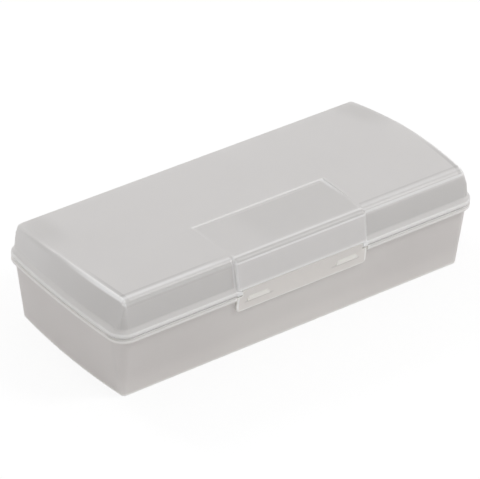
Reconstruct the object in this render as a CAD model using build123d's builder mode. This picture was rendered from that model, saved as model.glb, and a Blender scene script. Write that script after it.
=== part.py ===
from build123d import *
import os
from math import radians, tan

# Attachment box for a sewing machine, moulded in frosted polypropylene: a tray, a crowned lid that
# turns on two pinned hinges behind it, and a latch flap that hangs in the lid's front panel and
# snaps over two lugs on the tray.
#
# Millimetres. +X runs along the box, -Y is the front with the latch, +Z is up. The origin is the
# middle of the base, on the surface that the box stands on.

# Walls
WALL = 1.6
FLOOR = 1.8
INNER_CORNER = 1.0  # upright corners inside, where the walls are nearly square to each other

# Rims, where the tray and the lid meet
RIM_LENGTH = 190.0  # over the middle of the bowed ends
RIM_WIDTH = 84.0
RIM_CORNER = 8.0
RIM_OVERHANG = 1.7  # how far the rims stand out past the walls
RIM_ROUND = 0.8
END_BOW = 1.75  # how far the middle of each end stands out past its corners
TRAY_RIM = 2.2
LID_RIM = 2.4
SEAT_GAP = 0.15  # between the closed rims

# Tray
TRAY_HEIGHT = 31.3
TRAY_END_DRAFT = radians(6.4)
TRAY_SIDE_DRAFT = radians(6.6)
BASE_BOW = 2.1
BASE_CORNER = 1.8
BASE_ROUND = 0.9

# Lip on the tray, which centres the lid in a rebate
LIP_SET = 0.9  # its outside, in from the wall's
LIP_HEIGHT = 1.5
LIP_THICKNESS = 0.8
LIP_CLEARANCE = 0.3

# Lid
LEDGE_RISE = 1.75  # sloping ledge from the lid's rim up to its wall
LEDGE_ROOT = 0.5  # how far the ledge's slope runs on into the wall
LID_END_DRAFT = radians(12.6)
LID_SIDE_DRAFT = radians(8.0)
TOP_BOW = 2.7
TOP_CORNER = 1.0
WAIST_RISE = 9.6  # where the wall's corners are as tight as they get, above the lid's lower face
WAIST_BOW = 2.3
WAIST_CORNER = 1.4
CREST_RISE = 16.85  # the crowned top, above the lid's lower face, half way across
FRONT_RISE = 16.85  # where the crown turns into the front rounding
BACK_RISE = 13.3  # the crown, carried on to the line of the rim's back edge
FRONT_ROUND = 3.7
FRONT_RUN_OUT = 0.2  # how far the front rounding's arc is carried past the wall
TOP_ROUND = 0.9  # along the crown's back edge and ends
BLANK_EXTRA = 2.0  # the walls are drawn this much too tall, then cut to the crown
SOFT_FROM = 0.0  # behind the box's middle, the edges between top and ends start to melt away
SOFT_LEAST = 0.15
SOFT_ALONG = 6.5  # how far in from an end the top starts to fall at the back
SOFT_DOWN = 1.8  # and how far down the end's wall the fall ends
SOFT_LIFT = 0.05  # the fall's surface starts this far off the top and the wall
SOFT_STEPS = 4
SOFT_GROWTH = 0.7  # under 1, so that most of the growth comes early

# Panel that runs from a shallow recess in the top, over the front edge and down to the latch
PANEL_WIDTH = 68.0
PANEL_BACK = 10.0  # its back edge, in front of the box's middle
PANEL_BACK_RISE = 16.6  # its flat top at that edge, above the lid's lower face
PANEL_FRONT_RISE = 17.1  # and at its face
PANEL_PROUD = 1.8  # its face in front of the lid's wall
PANEL_ROUND = 2.5
PANEL_SIDE_ROUND = 1.5
PANEL_ROOT = 20.0  # its raised part is drawn this far back from where its face starts, in the crown
RECESS_SLOPE = 45.0  # degrees that the recess's walls lean outwards
PANEL_FOOT = 2.7  # its lower edge above the lid's lower face

# Latch flap and its pivot
PIVOT_RISE = 1.0  # axis above the lid's lower face
PIVOT_SET = 1.4  # axis behind the rims' front faces
BARREL_RADIUS = 1.6
BARREL_FLAT = 1.3  # the flap's face, in front of the axis
TRUNNION_RADIUS = 0.8
TRUNNION_LENGTH = 1.9
RUNNING_CLEARANCE = 0.05
EAR = 2.4
BARREL_GAP = 0.3  # round the barrel, at its ends and past the trunnions
SHOULDER_GAP = 0.3  # between the ears and the flap's shoulders
PIVOT_WALL = 1.2  # of the lid behind the barrel
FLAP_WIDTH = 67.5
FLAP_LEAN = radians(5.5)
FLAP_WALL = 1.0
FLAP_HEIGHT = 9.4  # from the axis down to the lower edge
FLAP_CORNER = 1.8
FLAP_ROUND = 0.35
BAR_X = 23.1  # two wedge-shaped finger bars on the flap's face
BAR_LENGTH = 11.0
BAR_TOP = 3.15  # where a bar's slope leaves the face, below the axis
BAR_SLOPE = 1.3
BAR_HEEL = 0.3
BAR_PROUD = 0.55
BAR_ROOT = 0.2  # buried in the flap's wall

# Bay in the tray's rim, which the flap hangs in
BAY_GAP = 0.2  # past each end of the panel
BAY_SET = 1.9  # the bay's back, behind the rims' front faces
BAY_DEPTH = 0.8  # the tray's wall is this much lower behind the barrel
BAY_REACH = 10.0  # how far in from the rims' front faces its cuts go, past the wall and the lip
BAY_END = 2.0  # where the lips stop, past each end of the panel

# Two lugs on the tray, which reach into pockets behind the bars
LUG_LENGTH = 9.0
LUG_DROP = 1.4  # top of the lug's slope under the tray's upper face
LUG_SLOPE = 1.1
LUG_HEEL = 0.3
LUG_REACH = 0.4  # into the pocket, past the flap's back
LUG_ROOT = 0.8  # buried in the tray's wall
POCKET_GAP = 0.3  # past the lug on every side

# Two hinges behind the box
HINGE_INSET = 40.0  # each hinge's middle, in from the rims' ends
HINGE_BACK = 2.6  # axis behind the rims
KNUCKLE_RADIUS = 2.2
PIN_RADIUS = 1.0
LID_KNUCKLE = 10.0
TRAY_KNUCKLE = 7.0
KNUCKLE_GAP = 0.3
ARM_ROOT = 1.0  # how far a knuckle's arm runs into the rim
PIN_CHAMFER = 0.3

rim_under = TRAY_HEIGHT - TRAY_RIM
lid_base = TRAY_HEIGHT + SEAT_GAP
lid_rim_top = lid_base + LID_RIM
ledge_top = lid_rim_top + LEDGE_RISE
wall_length = RIM_LENGTH - 2 * RIM_OVERHANG
wall_width = RIM_WIDTH - 2 * RIM_OVERHANG
wall_corner = RIM_CORNER - RIM_OVERHANG
rim_front = -RIM_WIDTH / 2
pivot_y = rim_front + PIVOT_SET
pivot_z = lid_base + PIVOT_RISE
face_y = pivot_y - BARREL_FLAT
flap_bottom = pivot_z - FLAP_HEIGHT
ear_inside = PANEL_WIDTH / 2 - EAR
barrel_end = ear_inside - BARREL_GAP
trunnion_end = barrel_end + BARREL_GAP + TRUNNION_LENGTH
channel_radius = BARREL_RADIUS + BARREL_GAP
bay_half = PANEL_WIDTH / 2 + BAY_GAP
lip_stop = PANEL_WIDTH / 2 + BAY_END
bar_top = pivot_z - BAR_TOP
bar_edge = bar_top - BAR_SLOPE
bar_under = bar_edge - BAR_HEEL
lug_top = TRAY_HEIGHT - LUG_DROP
lug_edge = lug_top - LUG_SLOPE
lug_under = lug_edge - LUG_HEEL
hinge_x = RIM_LENGTH / 2 - HINGE_INSET
hinge_y = RIM_WIDTH / 2 + HINGE_BACK
hinge_z = TRAY_HEIGHT + SEAT_GAP / 2
tray_knuckle_x = (LID_KNUCKLE + TRAY_KNUCKLE) / 2 + KNUCKLE_GAP
hinge_half = LID_KNUCKLE / 2 + KNUCKLE_GAP + TRAY_KNUCKLE


def bowed_section(height, length, width, bow, corner):
    """A section of the box at a height: straight front and back, bowed ends, rounded corners."""
    half_length, half_width = length / 2, width / 2
    shoulder = half_length - bow
    with BuildSketch(Plane.XY.offset(height)) as section:
        with BuildLine():
            Line((-shoulder, -half_width), (shoulder, -half_width))
            ThreePointArc((shoulder, -half_width), (half_length, 0), (shoulder, half_width))
            Line((shoulder, half_width), (-shoulder, half_width))
            ThreePointArc((-shoulder, half_width), (-half_length, 0), (-shoulder, -half_width))
        make_face()
        fillet(section.vertices(), corner)
    return section.sketch


def tray_section(height, inset, corner, bow):
    """A section of the tray's wall, or of its inside when inset by the wall."""
    below = rim_under - height
    length = wall_length - 2 * below * tan(TRAY_END_DRAFT) - 2 * inset
    width = wall_width - 2 * below * tan(TRAY_SIDE_DRAFT) - 2 * inset
    return bowed_section(height, length, width, bow, corner)


def lid_width(height):
    """The lid's width over its front and back walls at a height."""
    return wall_width - 2 * (height - ledge_top) * tan(LID_SIDE_DRAFT)


def lid_section(height, inset, corner, bow):
    """A section of the lid's wall, or of its inside when inset by the wall."""
    length = wall_length - 2 * (height - ledge_top) * tan(LID_END_DRAFT) - 2 * inset
    return bowed_section(height, length, lid_width(height) - 2 * inset, bow, corner)


def crown_height(y):
    """The crowned top's height at y, on the parabola that its arc all but follows."""
    back = RIM_WIDTH / 2
    front = lid_width(lid_base + FRONT_RISE) / 2 - FRONT_ROUND
    back_slope = (BACK_RISE - CREST_RISE) / back
    front_slope = (FRONT_RISE - CREST_RISE) / front
    curve = (back_slope + front_slope) / (back + front)
    return lid_base + CREST_RISE + (back_slope - curve * back) * y + curve * y**2


def lid_end(y, height):
    """How far out the lid's bowed end wall is at y and a height."""
    middle = wall_length / 2 - (height - ledge_top) * tan(LID_END_DRAFT)
    waist_height = lid_base + WAIST_RISE
    above_waist = (height - waist_height) / (lid_base + CREST_RISE + BLANK_EXTRA - waist_height)
    bow = WAIST_BOW + above_waist * (TOP_BOW - WAIST_BOW)
    return middle - bow * (2 * y / lid_width(height)) ** 2


def soft_shoulder(side, inset):
    """What is taken off the top at one end, where the edge melts away towards the back."""
    sections = []
    for step in range(SOFT_STEPS + 1):
        share = step / SOFT_STEPS
        y = SOFT_FROM + share * (RIM_WIDTH / 2 - SOFT_FROM)
        growth = share**SOFT_GROWTH
        along = SOFT_LEAST + growth * (SOFT_ALONG - SOFT_LEAST)
        down = SOFT_LEAST + growth * (SOFT_DOWN - SOFT_LEAST)
        top = crown_height(y) - inset
        corner = lid_end(y, top) - inset + SOFT_LIFT
        foot = corner + down * tan(LID_END_DRAFT)
        outside = foot + SOFT_ALONG
        with BuildSketch(Plane.XZ.offset(-y)) as section:
            with BuildLine():
                Bezier(
                    (side * (corner - along), top + SOFT_LIFT),
                    (side * corner, top + SOFT_LIFT),
                    (side * foot, top + SOFT_LIFT - down),
                )
                Polyline(
                    (side * foot, top + SOFT_LIFT - down),
                    (side * outside, top + SOFT_LIFT - down),
                    (side * outside, top + SOFT_ALONG),
                    (side * (corner - along), top + SOFT_ALONG),
                    (side * (corner - along), top + SOFT_LIFT),
                )
            make_face()
        sections.append(section.sketch)
    with BuildPart() as shoulder:
        loft(sections=sections)
    return shoulder.part


def panel_face(height):
    """Where the panel's front face is at a height."""
    return -lid_width(height) / 2 - PANEL_PROUD


def lid_form(inset):
    """The lid's outside, or its inside when inset by the wall: walls, crown, recess and panel."""
    inner = inset > 0
    blank_top = lid_base + CREST_RISE + BLANK_EXTRA
    wall_foot = lid_base if inner else lid_rim_top - RIM_ROUND
    foot = lid_section(wall_foot, inset, wall_corner - inset, END_BOW)
    waist = lid_section(lid_base + WAIST_RISE, inset, WAIST_CORNER, WAIST_BOW)
    head = lid_section(blank_top, inset, INNER_CORNER if inner else TOP_CORNER, TOP_BOW)
    crest = lid_base + CREST_RISE - inset
    round_z = lid_base + FRONT_RISE - inset
    round_y = -lid_width(round_z) / 2 + inset + FRONT_ROUND
    wall_z = round_z - FRONT_ROUND
    wall_y = -lid_width(wall_z) / 2 + inset - FRONT_RUN_OUT
    back_y = RIM_WIDTH / 2
    panel_top = lid_base + PANEL_FRONT_RISE - inset
    panel_back = lid_base + PANEL_BACK_RISE - inset
    panel_foot = lid_base + PANEL_FOOT
    face_foot = panel_face(panel_foot) + inset
    face_top = panel_face(panel_top) + inset
    panel_half = PANEL_WIDTH / 2 - inset
    back_edge = -PANEL_BACK + inset
    panel_run = back_edge - face_top
    panel_fall = (panel_top - panel_back) / panel_run
    root = min(PANEL_ROOT, panel_run)
    with BuildPart() as boss:
        with BuildSketch(Plane.YZ) as panel_side:
            with BuildLine():
                Polyline(
                    (face_top + root, panel_top - root * panel_fall),
                    (face_top, panel_top),
                    (face_foot, panel_foot),
                    (face_top + root, panel_foot),
                    close=True,
                )
            make_face()
            nose = panel_side.vertices().sort_by(Axis.X)[:2].sort_by(Axis.Y)[-1]
            fillet(nose, PANEL_ROUND - inset)
        extrude(amount=panel_half, both=True)
        if not inner:
            for end in boss.faces().filter_by(Axis.X):
                above_foot = end.edges().sort_by(Axis.Z)[1:]
                fillet(above_foot.sort_by(Axis.Y)[:-1], PANEL_SIDE_ROUND)
    shoulders = [soft_shoulder(-1, inset), soft_shoulder(1, inset)]
    with BuildPart() as form:
        loft(sections=[foot, head] if inner else [foot, waist, head], ruled=True)
        with BuildSketch(Plane.YZ) as above_crown:
            with BuildLine():
                crown = ThreePointArc(
                    (back_y, lid_base + BACK_RISE - inset), (0, crest), (round_y, round_z)
                )
                edge = TangentArc(crown @ 1, (wall_y, wall_z), tangent=crown % 1)
                Polyline(
                    edge @ 1,
                    (rim_front - BLANK_EXTRA, wall_z),
                    (rim_front - BLANK_EXTRA, blank_top + BLANK_EXTRA),
                    (back_y, blank_top + BLANK_EXTRA),
                    crown @ 0,
                )
            make_face()
        extrude(amount=RIM_LENGTH / 2, both=True, mode=Mode.SUBTRACT)
        if not inner:
            fillet(form.faces().sort_by(Axis.Y)[-1].edges().sort_by(Axis.Z)[-1], TOP_ROUND)
        add(shoulders, mode=Mode.SUBTRACT)
        recess_floor = Plane(
            origin=(0, back_edge, panel_back), x_dir=(1, 0, 0), z_dir=(0, panel_fall, 1)
        )
        with BuildSketch(recess_floor):
            with Locations((0, -RIM_WIDTH / 2)):
                Rectangle(2 * panel_half, RIM_WIDTH)
        extrude(amount=BLANK_EXTRA, taper=-RECESS_SLOPE, mode=Mode.SUBTRACT)
        add(boss.part)
    return form.part


def flap_face(height):
    """Where the flap's leaning front face is at a height below its axis."""
    return face_y + (pivot_z - height) * tan(FLAP_LEAN)


def flap_back(height):
    """Where the back of the flap's plate is at a height below its axis."""
    return flap_face(height) + FLAP_WALL


def side_plane(x):
    """A plane across the box at x, drawn in Y and Z."""
    return Plane(origin=(x, 0, 0), x_dir=(0, 1, 0), z_dir=(1, 0, 0))


def rim_slab(bottom, height):
    """A rim with rounded outer edges."""
    with BuildPart() as slab:
        add(bowed_section(bottom, RIM_LENGTH, RIM_WIDTH, END_BOW, RIM_CORNER))
        extrude(amount=height)
        fillet(slab.faces().filter_by(Axis.Z).edges(), RIM_ROUND)
    return slab.part


def knuckle(x, length, arm_low, arm_high):
    """A hinge barrel round the hinge's axis, and the arm that joins it to a rim."""
    with BuildPart() as barrel:
        with BuildSketch(side_plane(x - length / 2)):
            with Locations((hinge_y, hinge_z)):
                Circle(KNUCKLE_RADIUS)
            with BuildLine():
                Polyline(
                    (hinge_y, arm_low),
                    (hinge_y, arm_high),
                    (RIM_WIDTH / 2 - ARM_ROOT, arm_high),
                    (RIM_WIDTH / 2 - ARM_ROOT, arm_low),
                    close=True,
                )
            make_face()
        extrude(amount=length)
    return barrel.part


# The tray, with its rim, lip, two lugs and the outer knuckles of both hinges.
with BuildPart() as tray:
    base = tray_section(0, 0, BASE_CORNER, BASE_BOW)
    loft(sections=[base, tray_section(rim_under, 0, wall_corner, END_BOW)], ruled=True)
    fillet(tray.faces().sort_by(Axis.Z)[0].edges(), BASE_ROUND)
    add(rim_slab(rim_under, TRAY_RIM))
    add(bowed_section(
        TRAY_HEIGHT,
        wall_length - 2 * LIP_SET,
        wall_width - 2 * LIP_SET,
        END_BOW,
        wall_corner - LIP_SET,
    ))
    extrude(amount=LIP_HEIGHT)
    inside_foot = tray_section(FLOOR, WALL, INNER_CORNER, BASE_BOW)
    lip_inside = LIP_SET + LIP_THICKNESS
    inside_head = bowed_section(
        TRAY_HEIGHT + LIP_HEIGHT,
        wall_length - 2 * lip_inside,
        wall_width - 2 * lip_inside,
        END_BOW,
        wall_corner - lip_inside,
    )
    loft(sections=[inside_foot, inside_head], ruled=True, mode=Mode.SUBTRACT)
    with BuildSketch(Plane.XY.offset(TRAY_HEIGHT)):
        with Locations((0, rim_front)):
            Rectangle(2 * lip_stop, 2 * BAY_REACH)
    extrude(amount=LIP_HEIGHT, mode=Mode.SUBTRACT)
    with BuildSketch(Plane.YZ):
        with BuildLine():
            Polyline(
                (rim_front - BAY_SET, flap_bottom),
                (rim_front + BAY_SET, flap_bottom),
                (rim_front + BAY_SET, TRAY_HEIGHT - BAY_DEPTH),
                (rim_front + BAY_REACH, TRAY_HEIGHT - BAY_DEPTH),
                (rim_front + BAY_REACH, TRAY_HEIGHT),
                (rim_front - BAY_SET, TRAY_HEIGHT),
                close=True,
            )
        make_face()
    extrude(amount=bay_half, both=True, mode=Mode.SUBTRACT)
    for sign in (-1, 1):
        with BuildSketch(side_plane(sign * BAR_X)):
            with BuildLine():
                lug_root = -wall_width / 2 + LUG_ROOT
                Polyline(
                    (lug_root, lug_top),
                    (flap_back(lug_top) + POCKET_GAP, lug_top),
                    (flap_back(lug_edge) - LUG_REACH, lug_edge),
                    (flap_back(lug_under) - LUG_REACH, lug_under),
                    (lug_root, lug_under),
                    close=True,
                )
            make_face()
        extrude(amount=LUG_LENGTH / 2, both=True)
        for side in (-1, 1):
            centre = sign * hinge_x + side * tray_knuckle_x
            add(knuckle(centre, TRAY_KNUCKLE, hinge_z - KNUCKLE_RADIUS, TRAY_HEIGHT))
        with BuildSketch(side_plane(sign * hinge_x)):
            with Locations((hinge_y, hinge_z)):
                Circle(PIN_RADIUS)
        extrude(amount=hinge_half, both=True, mode=Mode.SUBTRACT)

# The space inside the lid: its walls' inside, less the thick wall behind the flap's pivot.
with BuildPart() as lid_space:
    add(lid_form(WALL))
    with BuildSketch(Plane.XY.offset(lid_base)):
        with Locations((0, rim_front)):
            pivot_wall_back = PIVOT_SET + channel_radius + PIVOT_WALL
            Rectangle(2 * lip_stop, 2 * pivot_wall_back)
    extrude(amount=PIVOT_RISE + channel_radius + PIVOT_WALL, mode=Mode.SUBTRACT)

# The rebate under the lid that goes over the tray's lip.
with BuildPart() as lip_rebate:
    rebate = LIP_SET - LIP_CLEARANCE
    add(bowed_section(
        lid_base,
        wall_length - 2 * rebate,
        wall_width - 2 * rebate,
        END_BOW,
        wall_corner - rebate,
    ))
    extrude(amount=LIP_HEIGHT + LIP_CLEARANCE)
    with BuildSketch(Plane.XY.offset(lid_base)):
        with Locations((0, rim_front)):
            Rectangle(2 * (lip_stop - LIP_CLEARANCE), 2 * BAY_REACH)
    extrude(amount=LIP_HEIGHT + LIP_CLEARANCE, mode=Mode.SUBTRACT)

# The lid, with its rim, ledge and panel, the ears for the flap's pivot and a knuckle of each hinge.
with BuildPart() as lid:
    add(lid_form(0))
    add(rim_slab(lid_base, LID_RIM))
    ledge_foot = lid_rim_top - RIM_ROUND
    ledge_slope = (ledge_top - ledge_foot) / RIM_OVERHANG
    ledge_head = ledge_top + LEDGE_ROOT * ledge_slope
    ledge_inset = 2 * (RIM_OVERHANG + LEDGE_ROOT)
    ledge_outline = bowed_section(ledge_foot, RIM_LENGTH, RIM_WIDTH, END_BOW, RIM_CORNER)
    ledge_root = bowed_section(
        ledge_head,
        RIM_LENGTH - ledge_inset,
        RIM_WIDTH - ledge_inset,
        END_BOW,
        RIM_CORNER - ledge_inset / 2,
    )
    loft(sections=[ledge_outline, ledge_root], ruled=True)
    add(lid_space.part, mode=Mode.SUBTRACT)
    add(lip_rebate.part, mode=Mode.SUBTRACT)
    with BuildSketch(Plane.YZ):
        with Locations((pivot_y, pivot_z)):
            Circle(channel_radius)
        with BuildLine():
            Polyline(
                (pivot_y + channel_radius, pivot_z),
                (pivot_y + channel_radius, lid_base),
                (rim_front - channel_radius, lid_base),
                (rim_front - channel_radius, pivot_z),
                close=True,
            )
        make_face()
    extrude(amount=ear_inside, both=True, mode=Mode.SUBTRACT)
    for sign in (-1, 1):
        with BuildSketch(side_plane(sign * (ear_inside + EAR / 2))):
            with Locations((pivot_y, pivot_z)):
                Circle(BARREL_RADIUS)
        extrude(amount=EAR / 2, both=True)
        with BuildSketch(side_plane(sign * (trunnion_end + BARREL_GAP) / 2)):
            with Locations((pivot_y, pivot_z)):
                Circle(TRUNNION_RADIUS + RUNNING_CLEARANCE)
        extrude(amount=(trunnion_end + BARREL_GAP) / 2, both=True, mode=Mode.SUBTRACT)
        add(knuckle(sign * hinge_x, LID_KNUCKLE, lid_base, hinge_z + KNUCKLE_RADIUS))
        with BuildSketch(side_plane(sign * hinge_x)):
            with Locations((hinge_y, hinge_z)):
                Circle(PIN_RADIUS + RUNNING_CLEARANCE)
        extrude(amount=LID_KNUCKLE / 2, both=True, mode=Mode.SUBTRACT)

# The latch flap: a barrel with a trunnion at each end, and a leaning plate with two finger bars on
# its face and a pocket for a lug behind each.
with BuildPart() as latch_flap:
    with BuildSketch(Plane.YZ):
        with Locations((pivot_y, pivot_z)):
            Circle(BARREL_RADIUS)
        with BuildLine():
            Polyline(
                (face_y, pivot_z),
                (flap_face(flap_bottom), flap_bottom),
                (flap_face(flap_bottom) + FLAP_WALL, flap_bottom),
                (face_y + FLAP_WALL, pivot_z),
                close=True,
            )
        make_face()
        with BuildLine():
            Polyline(
                (face_y, pivot_z + BARREL_RADIUS),
                (face_y, pivot_z),
                (flap_face(flap_bottom), flap_bottom),
                (face_y - BARREL_RADIUS, flap_bottom),
                (face_y - BARREL_RADIUS, pivot_z + BARREL_RADIUS),
                close=True,
            )
        make_face(mode=Mode.SUBTRACT)
    extrude(amount=FLAP_WIDTH / 2, both=True)
    lower_edges = latch_flap.faces().sort_by(Axis.Z)[0].edges()
    fillet(lower_edges.filter_by(Axis.Y), FLAP_CORNER)
    plate_face = latch_flap.faces().sort_by(Axis.Y)[0]
    fillet(plate_face.edges().sort_by(Axis.Z)[:-1], FLAP_ROUND)
    for sign in (-1, 1):
        with BuildSketch(side_plane(sign * (barrel_end + EAR))):
            with Locations((pivot_y, pivot_z)):
                Circle(BARREL_RADIUS + SHOULDER_GAP)
        extrude(amount=EAR, both=True, mode=Mode.SUBTRACT)
        with BuildSketch(side_plane(sign * trunnion_end / 2)):
            with Locations((pivot_y, pivot_z)):
                Circle(TRUNNION_RADIUS)
        extrude(amount=trunnion_end / 2, both=True)
        with BuildSketch(side_plane(sign * BAR_X)):
            with BuildLine():
                Polyline(
                    (flap_face(bar_top) + BAR_ROOT, bar_top),
                    (flap_face(bar_top), bar_top),
                    (flap_face(bar_edge) - BAR_PROUD, bar_edge),
                    (flap_face(bar_under) - BAR_PROUD, bar_under),
                    (flap_face(bar_under) + BAR_ROOT, bar_under),
                    close=True,
                )
            make_face()
        extrude(amount=BAR_LENGTH / 2, both=True)
        with BuildSketch(side_plane(sign * BAR_X)):
            with BuildLine():
                pocket_top = lug_top + POCKET_GAP
                pocket_foot = lug_under - POCKET_GAP
                pocket_reach = LUG_REACH + POCKET_GAP
                Polyline(
                    (flap_back(pocket_top) + FLAP_WALL, pocket_top),
                    (flap_back(pocket_top), pocket_top),
                    (flap_back(lug_edge) - pocket_reach, lug_edge),
                    (flap_back(pocket_foot) - pocket_reach, pocket_foot),
                    (flap_back(pocket_foot) + FLAP_WALL, pocket_foot),
                    close=True,
                )
            make_face()
        extrude(amount=LUG_LENGTH / 2 + POCKET_GAP, both=True, mode=Mode.SUBTRACT)

# Each hinge's steel pin, pressed into the tray's knuckles.
with BuildPart() as hinge_pin_left:
    with BuildSketch(side_plane(-hinge_x)):
        with Locations((hinge_y, hinge_z)):
            Circle(PIN_RADIUS)
    extrude(amount=hinge_half, both=True)
    chamfer(hinge_pin_left.faces().filter_by(Axis.X).edges(), PIN_CHAMFER)

with BuildPart() as hinge_pin_right:
    with BuildSketch(side_plane(hinge_x)):
        with Locations((hinge_y, hinge_z)):
            Circle(PIN_RADIUS)
    extrude(amount=hinge_half, both=True)
    chamfer(hinge_pin_right.faces().filter_by(Axis.X).edges(), PIN_CHAMFER)

os.makedirs("parts", exist_ok=True)

tray.part.label = "tray"
export_step(tray.part, "parts/tray.step")
lid.part.label = "lid"
export_step(lid.part, "parts/lid.step")
latch_flap.part.label = "latch_flap"
export_step(latch_flap.part, "parts/latch_flap.step")
hinge_pin_left.part.label = "hinge_pin_left"
export_step(hinge_pin_left.part, "parts/hinge_pin_left.step")
hinge_pin_right.part.label = "hinge_pin_right"
export_step(hinge_pin_right.part, "parts/hinge_pin_right.step")
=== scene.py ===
from math import cos, radians, sin

import bpy
from mathutils import Matrix, Vector

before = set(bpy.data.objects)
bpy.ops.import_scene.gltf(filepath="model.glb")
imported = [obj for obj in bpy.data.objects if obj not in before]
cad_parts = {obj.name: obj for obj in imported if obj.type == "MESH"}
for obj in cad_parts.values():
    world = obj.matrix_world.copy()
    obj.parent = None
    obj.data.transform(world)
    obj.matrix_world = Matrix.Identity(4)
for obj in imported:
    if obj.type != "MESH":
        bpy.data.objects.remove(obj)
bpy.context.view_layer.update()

# --- Studio -------------------------------------------------------------------------------
# The box stands on a white table in a light tent: white all round, one broad lamp behind on
# the left, which the rounded edges of the plastic pick up, and a weaker one in front.

scene = bpy.context.scene
scene.view_settings.view_transform = "Standard"

WHITE = "#FFFFFF"
TENT_STRENGTH = 0.78
WHITE_BACKDROP = 1.0
FLOOR_SIZE = 8.0
FLOOR_GLOW = 0.85  # share of pure white in the table as it is looked at; the rest keeps a shadow
MOTTLES_PER_METRE = 3.0


def linear(code, alpha=1.0):
    """An sRGB hex colour as the linear values that Blender's sockets take."""
    channels = [int(code[i:i + 2], 16) / 255 for i in (1, 3, 5)]
    return [c / 12.92 if c <= 0.04045 else ((c + 0.055) / 1.055) ** 2.4 for c in channels] + [alpha]


def add_node(tree, kind, inputs=None, **settings):
    """Adds one node. settings are its own properties; inputs maps a socket to a value or a link."""
    made = tree.nodes.new(kind)
    for name, value in settings.items():
        setattr(made, name, value)
    for name, value in (inputs or {}).items():
        if isinstance(value, bpy.types.NodeSocket):
            tree.links.new(value, made.inputs[name])
        else:
            made.inputs[name].default_value = value
    return made


def seen_directly(tree):
    """One where a camera, mirror or see-through ray meets a surface, and nought for its light."""
    path = add_node(tree, "ShaderNodeLightPath")
    straight_on = add_node(tree, "ShaderNodeMath", {
        0: path.outputs["Is Camera Ray"], 1: path.outputs["Is Glossy Ray"]}, operation="MAXIMUM")
    return add_node(tree, "ShaderNodeMath", {
        0: straight_on.outputs[0], 1: path.outputs["Is Transmission Ray"]},
        operation="MAXIMUM").outputs[0]


def light_tent():
    """White at full strength where it is looked at, and softer as the light it gives."""
    world = bpy.data.worlds.new("light_tent")
    world.use_nodes = True
    tree = world.node_tree
    tree.nodes.clear()
    strength = add_node(tree, "ShaderNodeMapRange", {
        "Value": seen_directly(tree), "To Min": TENT_STRENGTH, "To Max": WHITE_BACKDROP})
    background = add_node(tree, "ShaderNodeBackground", {
        "Color": linear(WHITE), "Strength": strength.outputs[0]})
    add_node(tree, "ShaderNodeOutputWorld", {"Surface": background.outputs[0]})
    return world


def new_material(name):
    """An empty material and its tree."""
    material = bpy.data.materials.new(name)
    material.use_nodes = True
    material.node_tree.nodes.clear()
    return material, material.node_tree


def white_laminate():
    """Matt white laminate, faintly mottled, which only the box's own shadow darkens."""
    material, tree = new_material("white_laminate")
    place = add_node(tree, "ShaderNodeTexCoord").outputs["Object"]
    mottle = add_node(tree, "ShaderNodeTexNoise", {"Vector": place, "Scale": MOTTLES_PER_METRE})
    tone = add_node(tree, "ShaderNodeMix", {
        0: mottle.outputs[0], 6: linear("#FAFAFA"), 7: linear("#FEFEFE")}, data_type="RGBA")
    shader = add_node(tree, "ShaderNodeBsdfPrincipled", {
        "Base Color": tone.outputs[2], "Roughness": 0.6, "Specular IOR Level": 0.2})
    glow = add_node(tree, "ShaderNodeEmission", {
        "Color": linear(WHITE), "Strength": WHITE_BACKDROP})
    share = add_node(tree, "ShaderNodeMath", {
        0: seen_directly(tree), 1: FLOOR_GLOW}, operation="MULTIPLY")
    mixed = add_node(tree, "ShaderNodeMixShader", {
        0: share.outputs[0], 1: shader.outputs[0], 2: glow.outputs[0]})
    add_node(tree, "ShaderNodeOutputMaterial", {"Surface": mixed.outputs[0]})
    return material


def soft_lamp(name, toward, distance, size, power):
    """A square soft box that looks at the box from a direction."""
    data = bpy.data.lights.new(name, "AREA")
    data.shape = "SQUARE"
    data.size = size
    data.energy = power
    lamp = bpy.data.objects.new(name, data)
    direction = Vector(toward).normalized()
    lamp.location = direction * distance
    lamp.rotation_euler = direction.to_track_quat("Z", "Y").to_euler()
    scene.collection.objects.link(lamp)


scene.world = light_tent()

half_floor = FLOOR_SIZE / 2
floor_mesh = bpy.data.meshes.new("table")
floor_mesh.from_pydata(
    [(-half_floor, -half_floor, 0), (half_floor, -half_floor, 0),
     (half_floor, half_floor, 0), (-half_floor, half_floor, 0)], [], [(0, 1, 2, 3)])
table = bpy.data.objects.new("table", floor_mesh)
scene.collection.objects.link(table)
table.data.materials.append(white_laminate())

soft_lamp("back_left_lamp", toward=(-0.15, 0.7, 0.68), distance=1.4, size=0.3, power=4.0)
soft_lamp("front_right_lamp", toward=(0.5, -0.45, 0.75), distance=1.6, size=0.35, power=7.0)

CAMERA_AZIMUTH = radians(-37.05)
CAMERA_ELEVATION = radians(32.65)
CAMERA_ROLL = radians(1.063)
CAMERA_DISTANCE = 1.5653
CAMERA_TARGET = Vector((-0.00175, 0, 0.02578))
SENSOR = 36.0
LENS = 276.7

backwards = Vector((
    sin(CAMERA_AZIMUTH) * cos(CAMERA_ELEVATION),
    -cos(CAMERA_AZIMUTH) * cos(CAMERA_ELEVATION),
    sin(CAMERA_ELEVATION)))
level = Vector((0, 0, 1)).cross(backwards).normalized()
upright = backwards.cross(level)
right = level * cos(CAMERA_ROLL) + upright * sin(CAMERA_ROLL)
above = backwards.cross(right)
camera = bpy.data.objects.new("camera", bpy.data.cameras.new("camera"))
camera.data.sensor_width = SENSOR
camera.data.lens = LENS
camera.matrix_world = Matrix.LocRotScale(
    CAMERA_TARGET + backwards * CAMERA_DISTANCE,
    Matrix((right, above, backwards)).transposed(), None)
scene.collection.objects.link(camera)
scene.camera = camera


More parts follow.
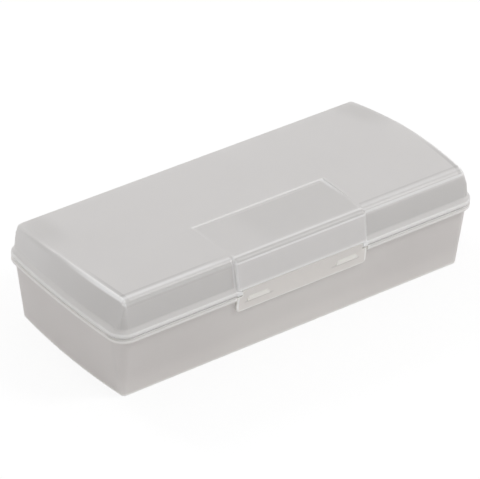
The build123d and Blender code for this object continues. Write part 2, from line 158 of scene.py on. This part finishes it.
# --- Tray ---------------------------------------------------------------------------------
# The lower half: natural polypropylene, injection moulded in a spark-eroded mould, so it is
# milky and lets light through, with a fine matt grain and a soft gloss. Painted light and
# shade are laid into its colour, with painted highlights along its rounded rim.

MM = 0.001
GRAIN = 0.45 * MM  # the real grain is about 0.1 mm, drawn as coarse as it needs to show
GRAIN_DEPTH = 0.02 * MM
CLOUD = 28 * MM  # across a patch where the melt cooled more slowly
CREASE = 1.6 * MM  # how near two outer faces have to be for painted light to gather between them
PAINTED_GLOW = 0.7  # how pale the painted light along an edge or in a crease gets
MILKINESS = 0.3  # share of the light that comes through a wall
SCATTER = 2 * MM
BOW = 1.7  # an end stands back by this times the square of the way from its middle, in metres


def box_mask(tree, place, low, high, soft):
    """One in a box given by two corners in millimetres, fading to nought over soft on each axis."""
    low, high = Vector(low) * MM, Vector(high) * MM
    offset = add_node(tree, "ShaderNodeVectorMath", {
        0: place, 1: (low + high) / 2}, operation="SUBTRACT")
    size = add_node(tree, "ShaderNodeVectorMath", {0: offset.outputs[0]}, operation="ABSOLUTE")
    past = add_node(tree, "ShaderNodeVectorMath", {
        0: size.outputs[0], 1: (high - low) / 2}, operation="SUBTRACT")
    out = add_node(tree, "ShaderNodeVectorMath", {
        0: past.outputs[0], 1: (0, 0, 0)}, operation="MAXIMUM")
    share = add_node(tree, "ShaderNodeVectorMath", {
        0: out.outputs[0], 1: Vector(soft) * MM}, operation="DIVIDE")
    far = add_node(tree, "ShaderNodeVectorMath", {0: share.outputs[0]}, operation="LENGTH")
    return add_node(tree, "ShaderNodeMapRange", {
        "Value": far.outputs["Value"], "To Min": 1.0, "To Max": 0.0},
        interpolation_type="SMOOTHSTEP").outputs[0]


def tinted(tree, color, mask, amount, code):
    """A colour with another laid over it where the mask is one."""
    share = add_node(tree, "ShaderNodeMath", {0: mask, 1: amount}, operation="MULTIPLY")
    return add_node(tree, "ShaderNodeMix", {
        0: share.outputs[0], 6: color, 7: linear(code)}, data_type="RGBA").outputs[2]


def laid_straight(tree, place):
    """A piece's places with its bowed ends laid straight, once with its left half folded onto
    the right one and once with the halves apart."""
    folded = add_node(tree, "ShaderNodeVectorMath", {0: place}, operation="ABSOLUTE")
    along = add_node(tree, "ShaderNodeSeparateXYZ", {0: folded.outputs[0]}).outputs[0]
    x, y, z = add_node(tree, "ShaderNodeSeparateXYZ", {0: place}).outputs
    squared = add_node(tree, "ShaderNodeMath", {0: y, 1: y}, operation="MULTIPLY")
    straight = add_node(tree, "ShaderNodeMath", {
        0: squared.outputs[0], 1: BOW, 2: along}, operation="MULTIPLY_ADD")
    both = add_node(tree, "ShaderNodeCombineXYZ", {0: straight.outputs[0], 1: y, 2: z}).outputs[0]
    hand = add_node(tree, "ShaderNodeMath", {0: x}, operation="SIGN")
    turn = add_node(tree, "ShaderNodeCombineXYZ", {0: hand.outputs[0], 1: 1.0, 2: 1.0})
    apart = add_node(tree, "ShaderNodeVectorMath", {
        0: both, 1: turn.outputs[0]}, operation="MULTIPLY").outputs[0]
    return both, apart


def frosted_polypropylene(name, body_hex, cloud_hex, painted_glow_hex, edge_depth, painted_strips, over=()):
    """Milky plastic: cloudy where the melt cooled unevenly, and with painted light along its edges
    and in its creases: a paler colour that stands for the light that comes through a wall and
    gathers there. edge_depth is less than the wall, so that only an edge has another face so
    near. The boxes in its first list are painted highlight and painted shade, each with its low
    and high corner, its fade on each axis, its amount and its colour, in millimetres with the
    bowed ends laid straight. One that starts left of the middle is on the left half alone, and
    the others are on both. Those in over cover the painted light along the edges too."""
    material, tree = new_material(name)
    place = add_node(tree, "ShaderNodeTexCoord").outputs["Object"]
    both, apart = laid_straight(tree, place)

    def lay(boxes, color):
        for low, high, soft, amount, code in boxes:
            half = both if low[0] >= 0 else apart
            color = tinted(tree, color, box_mask(tree, half, low, high, soft), amount, code)
        return color

    clouds = add_node(tree, "ShaderNodeTexNoise", {
        "Vector": place, "Scale": 1 / CLOUD, "Detail": 3.0})
    color = lay(painted_strips, add_node(tree, "ShaderNodeMix", {
        0: clouds.outputs[0], 6: linear(body_hex), 7: linear(cloud_hex)},
        data_type="RGBA").outputs[2])
    # Painted light: the colour is made paler along edges and in creases, where ambient occlusion
    # finds other faces near
    for reach, inside, open_face, tight_spot in (
            (edge_depth * MM, True, 0.95, 0.45), (CREASE, False, 0.9, 0.3)):
        near = add_node(tree, "ShaderNodeAmbientOcclusion", {
            "Distance": reach}, samples=8, inside=inside, only_local=inside)
        glow = add_node(tree, "ShaderNodeMapRange", {
            "Value": near.outputs["AO"], "From Min": open_face, "From Max": tight_spot})
        color = tinted(tree, color, glow.outputs[0], PAINTED_GLOW, painted_glow_hex)
    color = lay(over, color)
    grain = add_node(tree, "ShaderNodeTexNoise", {
        "Vector": place, "Scale": 1 / GRAIN, "Detail": 2.0})
    bump = add_node(tree, "ShaderNodeBump", {
        "Height": grain.outputs[0], "Strength": 0.12, "Distance": GRAIN_DEPTH})
    shader = add_node(tree, "ShaderNodeBsdfPrincipled", {
        "Base Color": color,
        "Roughness": 0.3,
        "IOR": 1.49,
        "Normal": bump.outputs[0],
        "Subsurface Weight": 0.5,
        "Subsurface Radius": (1.0, 0.99, 0.96),
        "Subsurface Scale": SCATTER,
    })
    through = add_node(tree, "ShaderNodeBsdfTranslucent", {"Color": color})
    milky = add_node(tree, "ShaderNodeMixShader", {
        0: MILKINESS, 1: shader.outputs[0], 2: through.outputs[0]})
    add_node(tree, "ShaderNodeOutputMaterial", {"Surface": milky.outputs[0]})
    return material


def dress(node_name, material):
    """Gives a carried-over node one material all over."""
    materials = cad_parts[node_name].data.materials
    materials.clear()
    materials.append(material)


# The tints of painted highlight, painted soft light, painted shade and deeper painted shade, and
# limits in millimetres past the box's faces, for strips that run right across
PAINTED_HIGHLIGHT, PAINTED_SOFT_LIGHT, PAINTED_SHADE, PAINTED_DEEP_SHADE = WHITE, "#F4F2EE", "#C3C1BF", "#8F8D8C"
END, FRONT, REAR, TOP = 99, -45, 45, 50

dress("tray", frosted_polypropylene(
    "tray_frosted_polypropylene", "#D9D5D3", "#DEDAD8", "#FFFEFB", 1.4, [
        ((0, FRONT, 5), (15, -35, 27), (50, 3, 8), 0.2, PAINTED_SOFT_LIGHT),  # painted light in the middle of the front
        ((0, FRONT, 14), (END, -35, 28), (1, 3, 10), 0.13, PAINTED_SHADE),  # painted shade under the rim
        ((0, FRONT, 0), (END, -35, 3), (1, 3, 8), 0.15, PAINTED_SOFT_LIGHT),  # painted light on the lower front
        ((0, FRONT, 29.4), (END, REAR, 31.4), (1, 1, 0.3), 0.2, PAINTED_SOFT_LIGHT),  # painted light on the rim
        ((0, FRONT, 30.1), (END, REAR, 30.4), (1, 1, 0.4), 0.3, PAINTED_HIGHLIGHT),  # painted highlight on the rim's face
        ((0, FRONT, 30.8), (END, -38, 31.0), (1, 8, 0.2), 0.3, PAINTED_DEEP_SHADE),  # painted shade in the gap under the lid
        ((0, FRONT, 28.9), (END, REAR, 29.2), (1, 1, 0.4), 0.2, PAINTED_SHADE),  # painted shade along the rim's lower edge
        ((0, FRONT, 0), (END, REAR, 1.0), (1, 1, 0.7), 0.6, PAINTED_SOFT_LIGHT),  # painted highlight along the foot
    ]))


# --- Lid ----------------------------------------------------------------------------------
# The upper half, moulded in the same plastic. It stands in more light than the tray, so its
# colour is painted paler and cooler, and painted light and shade are laid into it besides.
# It turns on the two pins behind, and its panel carries the flap.

SIDE = 34 + 2.7  # the panel's side, where the straightening of the ends puts it
LID_ITSELF = "#DAD8D7"

dress("lid", frosted_polypropylene(
    "lid_frosted_polypropylene", "#D9D7D6", "#DDDBDA", "#FFFFFF", 1.4, [
        # walls and rim: painted light and shade
        ((0, FRONT, 31.4), (END, REAR, 35.4), (1, 1, 0.4), 0.15, PAINTED_SOFT_LIGHT),  # painted light on the ledge
        ((SIDE + 1, FRONT, 36), (END, -38.8, 44.3), (1, 0.5, 1.2), 0.45, PAINTED_SHADE),  # painted shade on the front wall
        ((91, FRONT, 36), (END, -30, 46), (0.6, 40, 1.2), 0.3, PAINTED_SHADE),  # painted shade on the front of the end walls
        ((0, FRONT, 33.0), (END, REAR, 33.5), (1, 1, 0.4), 0.35, PAINTED_HIGHLIGHT),  # painted highlight on the rim's face
        ((0, FRONT, 31.8), (END, -38, 32.1), (1, 8, 0.25), 0.6, PAINTED_DEEP_SHADE),  # painted shade in the gap over the tray
        ((88, 25, 36), (END, 40, 44), (2, 25, 2.5), 0.12, PAINTED_HIGHLIGHT),  # painted light on the back of the end walls
        # top and its end edges: painted light and shade
        ((84, 25, 46), (END, REAR, TOP), (9, 18, 3), 0.3, PAINTED_SHADE),  # painted shade at the rear corners
        ((0, -36, 46), (33.5, -12, TOP), (1.5, 1, 1), 0.3, PAINTED_SHADE),  # painted shade in the recess
        ((88.1, -34, 47), (89.0, -32, TOP), (0.6, 30, 1), 0.25, PAINTED_DEEP_SHADE),  # painted shade just inside an end edge
        ((89.9, -39, 47.4), (END, -35, 49), (0.4, 44, 1.2), 1.0, PAINTED_HIGHLIGHT),  # painted highlight along an end edge
        # front rounding: painted highlights and shade
        ((SIDE, -36.7, 46.8), (END, -36.1, TOP), (0.3, 0.9, 1.2), 0.25, PAINTED_HIGHLIGHT),  # painted highlight, upper line
        ((-90, -36.7, 46.8), (-SIDE, -36.1, TOP), (0.3, 0.9, 1.2), 0.4, PAINTED_HIGHLIGHT),  # painted highlight, the upper line on the left
        ((SIDE, -37.9, 46.8), (END, -37.0, 48), (0.3, 0.6, 0.5), 0.35, PAINTED_SHADE),  # painted shade between the lines
        ((SIDE, -34.7, 47), (90, -34.3, TOP), (0.3, 0.6, 1), 0.2, PAINTED_DEEP_SHADE),  # painted shade over the upper line
        ((SIDE, FRONT, 46.0), (END, -37.5, 46.4), (0.3, 1, 0.4), 0.45, PAINTED_HIGHLIGHT),  # painted highlight, lower line
        ((-90, FRONT, 45.2), (-SIDE, -37.9, 46.9), (0.3, 0.6, 0.8), 0.65, PAINTED_SHADE),  # painted shade, less highlight on the left
        # panel: painted light and shade
        ((0, -40.3, 47.0), (SIDE, -38.9, 49), (0.5, 0.3, 0.5), 0.6, PAINTED_SHADE),  # painted shade on its rounding
        ((0, -38.2, 47.6), (SIDE, -37.6, TOP), (0.3, 0.5, 1), 0.4, PAINTED_HIGHLIGHT),  # painted highlight over the rounding
        ((0, FRONT, 46.4), (SIDE, -40, 46.8), (0.3, 1, 0.4), 0.5, PAINTED_HIGHLIGHT),  # painted highlight under the rounding
        ((-SIDE - 0.6, FRONT, 34), (-SIDE + 0.5, -37.8, 47.4), (0.4, 0.6, 1), 0.4, PAINTED_HIGHLIGHT),  # painted highlight along its side
    ], [
        ((-38, -35.6, 46), (-22, -10.5, TOP), (14, 1.2, 2), 0.75, LID_ITSELF),  # the lid's own colour over the painted edge light, on the recess's left
    ]))


# --- Latch flap ---------------------------------------------------------------------------
# The strip that snaps over the tray's two lugs, moulded in the same plastic. It hangs on two
# trunnions in the lid's ears, and the two bars on its face give the fingers a hold.

dress("latch_flap", frosted_polypropylene(
    "flap_frosted_polypropylene", "#E1DDDA", "#E5E1DE", "#FFFEF8", 0.85, [
        ((19, FRONT, 26.9), (32, -38, 27.4), (1.5, 1, 0.4), 0.4, PAINTED_SHADE),  # painted shade under the bars
        ((0, FRONT, 23), (37, -38, 23.3), (1, 1, 0.5), 0.7, PAINTED_HIGHLIGHT),  # painted highlight along the lower edge
        ((36, FRONT, 23), (38, -38, 31), (0.4, 1, 1), 0.6, PAINTED_HIGHLIGHT),  # painted highlight along the sides
    ]))


# --- Hinge pins ---------------------------------------------------------------------------
# Two lengths of drawn steel wire, pressed into the tray's knuckles. The lid's knuckles turn
# on them, so only their cut ends and the gaps between the knuckles show the metal.

SCRATCH = 0.2 * MM  # the real scratches are finer, drawn as coarse as they need to show
STRETCH = 0.05  # along the wire


def drawn_steel():
    """Steel wire: a grey metal with fine scratches along its length, where the die ran."""
    material, tree = new_material("drawn_steel")
    place = add_node(tree, "ShaderNodeTexCoord").outputs["Object"]
    along = add_node(tree, "ShaderNodeMapping", {"Vector": place, "Scale": (STRETCH, 1.0, 1.0)})
    scratches = add_node(tree, "ShaderNodeTexNoise", {
        "Vector": along.outputs[0], "Scale": 1 / SCRATCH, "Detail": 2.0})
    rough = add_node(tree, "ShaderNodeMapRange", {
        "Value": scratches.outputs[0], "To Min": 0.25, "To Max": 0.45})
    tone = add_node(tree, "ShaderNodeMix", {
        0: scratches.outputs[0], 6: linear("#9A9A9C"), 7: linear("#B2B2B4")}, data_type="RGBA")
    shader = add_node(tree, "ShaderNodeBsdfPrincipled", {
        "Base Color": tone.outputs[2], "Metallic": 1.0, "Roughness": rough.outputs[0]})
    add_node(tree, "ShaderNodeOutputMaterial", {"Surface": shader.outputs[0]})
    return material


steel = drawn_steel()
for pin in ("hinge_pin_left", "hinge_pin_right"):
    dress(pin, steel)
